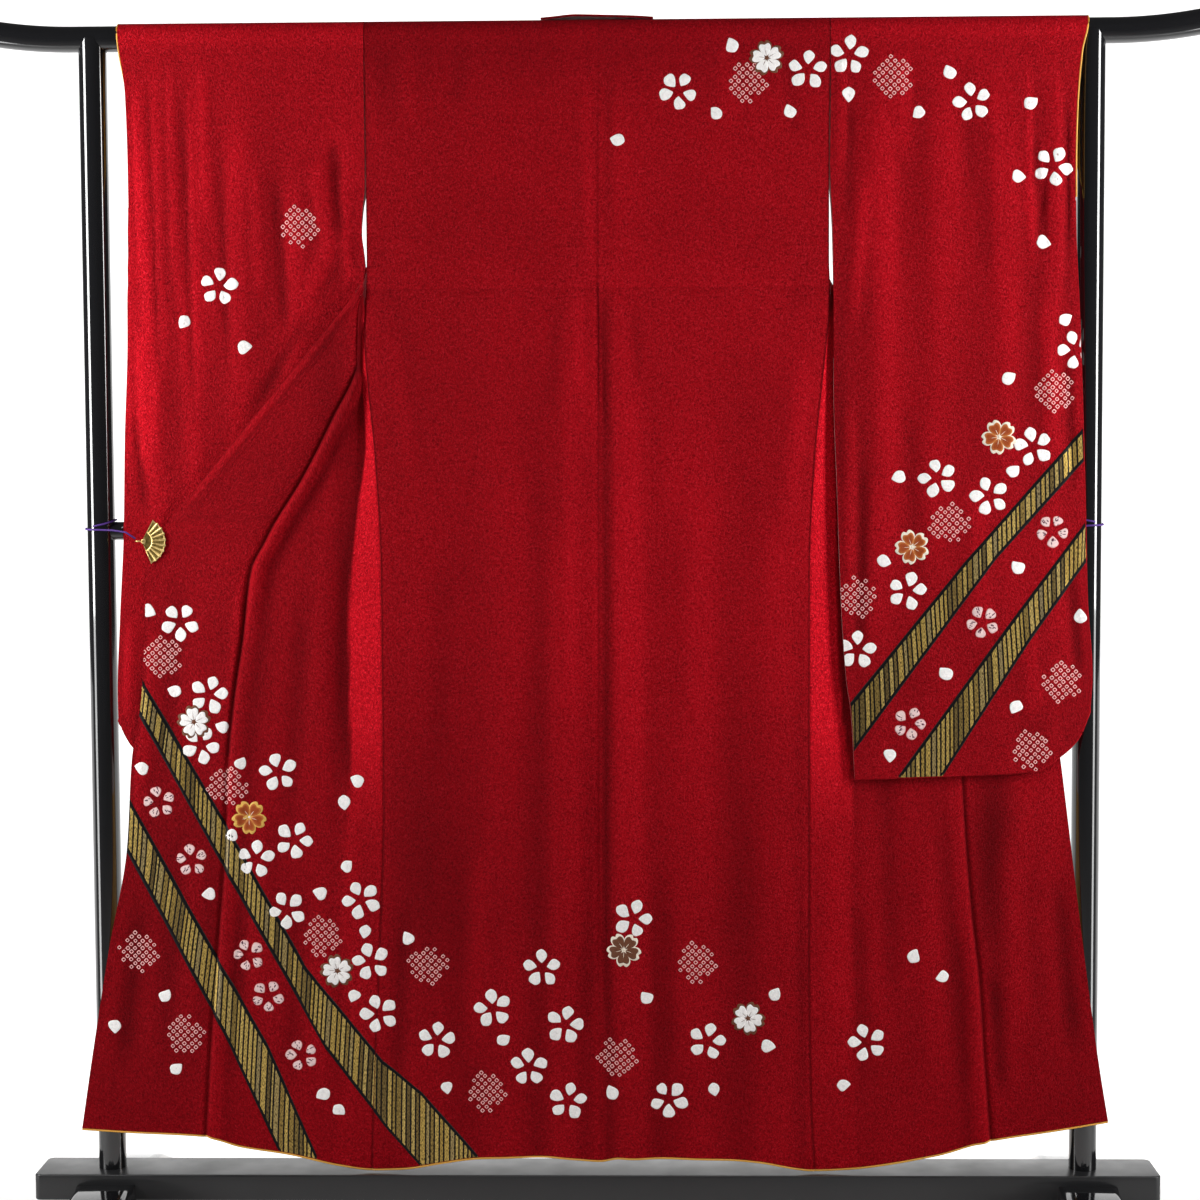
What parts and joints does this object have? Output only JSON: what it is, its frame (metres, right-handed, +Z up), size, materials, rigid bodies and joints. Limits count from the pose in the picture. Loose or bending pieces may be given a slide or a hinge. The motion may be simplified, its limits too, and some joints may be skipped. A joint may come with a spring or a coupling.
{
  "type": "furisode kimono on a kimono stand",
  "caption": "Deep red crepe furisode with blossoms and gold-striped bands, seen from the back, hung over the top rail of a black lacquered kimono stand.",
  "frame": {"origin": "on the floor, at the centre of the bounding box's underside", "axes": "+Z up, +X along the rails towards the garment's right sleeve, -Y towards the viewer of the garment's back"},
  "size_m": [1.8172, 0.56, 1.7204],
  "materials": {
    "crepe": "matt pebbled silk crepe",
    "hem_lining": "soft satin silk",
    "lacquer": "gloss",
    "board_lacquer": "satin black lacquer",
    "gold": "polished",
    "cord": "silk cord"
  },
  "bodies": {
    "root": {"back_left": "crepe", "back_right": "crepe", "sleeve_left_back": "crepe", "sleeve_left_front": "crepe", "sleeve_right_back": "crepe", "sleeve_right_front": "crepe", "front_left": "crepe", "front_right": "crepe", "okumi_left": "crepe", "okumi_right": "crepe", "collar_left": "crepe", "collar_right": "crepe", "collar_back": "crepe", "hem_back_left": "hem_lining", "hem_back_right": "hem_lining", "hem_front_left": "hem_lining", "hem_front_right": "hem_lining", "hem_okumi_left": "hem_lining", "hem_okumi_right": "hem_lining", "cuff_lining_left_back": "hem_lining", "cuff_lining_left_front": "hem_lining", "cuff_lining_right_back": "hem_lining", "cuff_lining_right_front": "hem_lining", "top_rail": "lacquer", "upright_left": "lacquer", "upright_right": "lacquer", "mid_rail": "lacquer", "base_board": "board_lacquer", "foot_left": "lacquer", "foot_right": "lacquer", "fan_clip_left": "gold", "fan_clip_right": "gold", "clip_ring_left": "gold", "clip_ring_right": "gold", "cord_left": "cord", "cord_right": "cord"}
  },
  "joints": []
}
